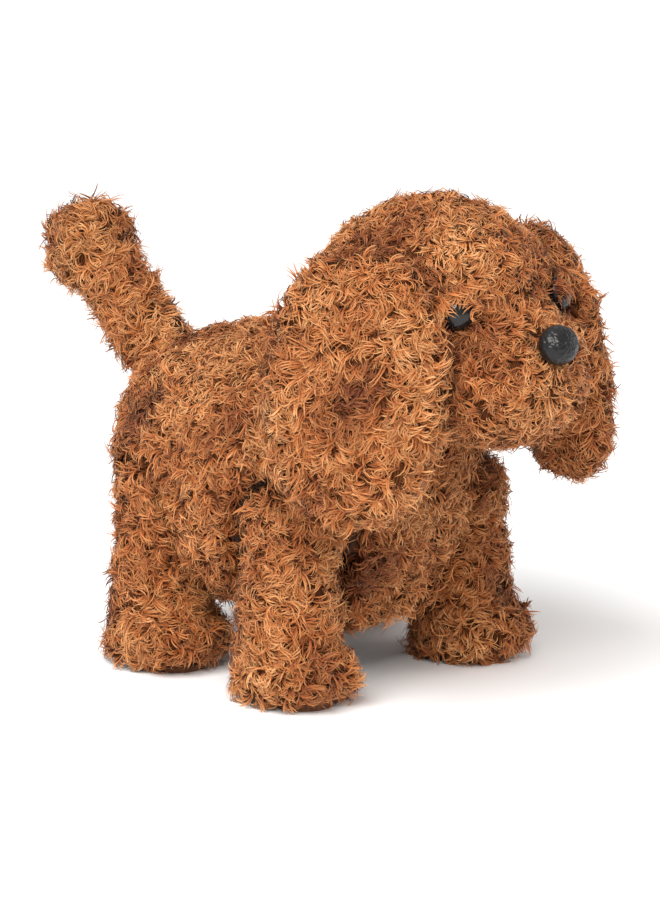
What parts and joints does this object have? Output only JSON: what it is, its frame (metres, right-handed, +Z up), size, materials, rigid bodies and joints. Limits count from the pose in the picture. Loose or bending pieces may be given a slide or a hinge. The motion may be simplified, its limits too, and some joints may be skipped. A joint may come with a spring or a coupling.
{
  "type": "interactive plush puppy",
  "caption": "Walking plush puppy with curly fur cover, motor gearbox, linked swinging legs, nodding head, floppy ears and wagging tail.",
  "frame": {"origin": "on the floor, under the middle of the puppy's box", "axes": "+Z up, -Y the way the puppy faces, -X its right side"},
  "size_m": [0.1362, 0.2723, 0.182],
  "materials": {
    "plush": "long curly caramel-brown polyester pile",
    "wadding": "loose white polyester wadding",
    "dark_plastic": "fine-textured dark grey ABS",
    "white_plastic": "plain off-white ABS",
    "nylon": "natural nylon, lightly greased",
    "steel": "bright plated steel",
    "cell_jacket": "plain green printed cell jacket",
    "board": "green solder mask",
    "paper": "dark paper speaker cone",
    "red_wire": "red PVC sleeve",
    "black_wire": "black PVC sleeve",
    "sole_rubber": "soft brown non-slip rubber",
    "bead_black": "polished black acrylic"
  },
  "bodies": {
    "root": {"body_cover": "plush", "body_wadding": "wadding", "chassis_right_shell": "dark_plastic", "chassis_left_shell": "dark_plastic", "chassis_screw_1": "steel", "chassis_screw_2": "steel", "hip_axle_front": "steel", "hip_axle_rear": "steel", "neck_post": "white_plastic", "neck_pin": "steel", "battery_tray": "dark_plastic", "battery_cell_right": "cell_jacket", "battery_cell_left": "cell_jacket", "contact_spring_right": "steel", "contact_spring_left": "steel", "switch_housing": "white_plastic", "motor_can": "steel", "gear_axle_first": "steel", "gear_axle_second": "steel", "gearbox_base": "white_plastic", "gearbox_cover": "white_plastic", "circuit_board": "board", "speaker_frame": "steel", "speaker_cone": "paper", "battery_wire_red": "red_wire", "battery_wire_black": "black_wire", "tail_bracket": "white_plastic", "tail_pin": "steel"},
    "battery_door": {"battery_door": "dark_plastic", "door_screw": "steel"},
    "switch_knob": {"switch_knob": "white_plastic"},
    "crank": {"crank_gear": "nylon", "crank_shaft": "steel"},
    "second_gear": {"gear_second": "nylon"},
    "first_gear": {"gear_first": "nylon"},
    "pinion": {"motor_pinion": "nylon"},
    "leg_front_right": {"leg_frame_front_right": "white_plastic", "leg_cover_front_right": "plush", "sole_front_right": "sole_rubber"},
    "leg_front_left": {"leg_frame_front_left": "white_plastic", "leg_cover_front_left": "plush", "sole_front_left": "sole_rubber"},
    "leg_rear_right": {"leg_frame_rear_right": "white_plastic", "leg_cover_rear_right": "plush", "sole_rear_right": "sole_rubber"},
    "leg_rear_left": {"leg_frame_rear_left": "white_plastic", "leg_cover_rear_left": "plush", "sole_rear_left": "sole_rubber"},
    "bar_right": {"drive_bar_right": "nylon"},
    "bar_left": {"drive_bar_left": "nylon"},
    "head": {"head_cover": "plush", "skull_front": "white_plastic", "skull_rear": "white_plastic", "eye_right": "bead_black", "eye_left": "bead_black", "nose": "bead_black"},
    "ear_right": {"ear_right": "plush"},
    "ear_left": {"ear_left": "plush"},
    "tail": {"tail_lever": "white_plastic", "tail_cover": "plush"}
  },
  "joints": [
    {"name": "door_lift_off", "type": "slide", "parent": "root", "child": "battery_door", "axis": [0, 0, -1], "range_m": [0, 0.012]},
    {"name": "switch_slide", "type": "slide", "parent": "root", "child": "switch_knob", "axis": [0, 1, 0], "range_m": [0, 0.004]},
    {"name": "crank_turn", "type": "hinge", "parent": "root", "child": "crank", "pos_m": [0, -0.0042, 0.062], "axis": [1, 0, 0], "continuous": true},
    {"name": "second_gear_turn", "type": "hinge", "parent": "root", "child": "second_gear", "pos_m": [0, 0.00619, 0.068], "axis": [1, 0, 0], "continuous": true},
    {"name": "first_gear_turn", "type": "hinge", "parent": "root", "child": "first_gear", "pos_m": [0, 0.01747, 0.0721], "axis": [1, 0, 0], "continuous": true},
    {"name": "pinion_turn", "type": "hinge", "parent": "root", "child": "pinion", "pos_m": [0, 0.02666, 0.07982], "axis": [1, 0, 0], "continuous": true},
    {"name": "leg_front_right_swing", "type": "hinge", "parent": "root", "child": "leg_front_right", "pos_m": [0, -0.0407, 0.062], "axis": [1, 0, 0], "range_deg": [-12, 12]},
    {"name": "leg_front_left_swing", "type": "hinge", "parent": "root", "child": "leg_front_left", "pos_m": [0, -0.0407, 0.062], "axis": [1, 0, 0], "range_deg": [-12, 12]},
    {"name": "leg_rear_right_swing", "type": "hinge", "parent": "root", "child": "leg_rear_right", "pos_m": [0, 0.0283, 0.062], "axis": [1, 0, 0], "range_deg": [-12, 12]},
    {"name": "leg_rear_left_swing", "type": "hinge", "parent": "root", "child": "leg_rear_left", "pos_m": [0, 0.0283, 0.062], "axis": [1, 0, 0], "range_deg": [-12, 12]},
    {"name": "bar_right_turn", "type": "hinge", "parent": "leg_front_right", "child": "bar_right", "pos_m": [0, -0.0407, 0.072], "axis": [1, 0, 0], "range_deg": [-12, 12]},
    {"name": "bar_left_turn", "type": "hinge", "parent": "leg_front_left", "child": "bar_left", "pos_m": [0, -0.0407, 0.072], "axis": [1, 0, 0], "range_deg": [-12, 12]},
    {"name": "head_nod", "type": "hinge", "parent": "root", "child": "head", "pos_m": [0, -0.0582, 0.112], "axis": [1, 0, 0], "range_deg": [-6, 6]},
    {"name": "ear_right_lift", "type": "hinge", "parent": "head", "child": "ear_right", "pos_m": [-0.0375, -0.0822, 0.166], "axis": [-0.342, 0.9397, 0], "range_deg": [0, 30]},
    {"name": "ear_left_lift", "type": "hinge", "parent": "head", "child": "ear_left", "pos_m": [0.0375, -0.0822, 0.166], "axis": [-0.342, -0.9397, 0], "range_deg": [0, 30]},
    {"name": "tail_wag", "type": "hinge", "parent": "root", "child": "tail", "pos_m": [0, 0.0558, 0.083], "axis": [0, -0.6726, 0.74], "range_deg": [-15, 15]}
  ],
  "couplings": [
    {"joint": "second_gear_turn", "follows": "crank_turn", "ratio": -3},
    {"joint": "first_gear_turn", "follows": "crank_turn", "ratio": 9},
    {"joint": "pinion_turn", "follows": "crank_turn", "ratio": -27},
    {"joint": "leg_front_left_swing", "follows": "leg_front_right_swing", "ratio": -1},
    {"joint": "leg_rear_right_swing", "follows": "leg_front_right_swing", "ratio": 1},
    {"joint": "leg_rear_left_swing", "follows": "leg_front_right_swing", "ratio": -1},
    {"joint": "bar_right_turn", "follows": "leg_front_right_swing", "ratio": -1},
    {"joint": "bar_left_turn", "follows": "leg_front_right_swing", "ratio": 1}
  ]
}
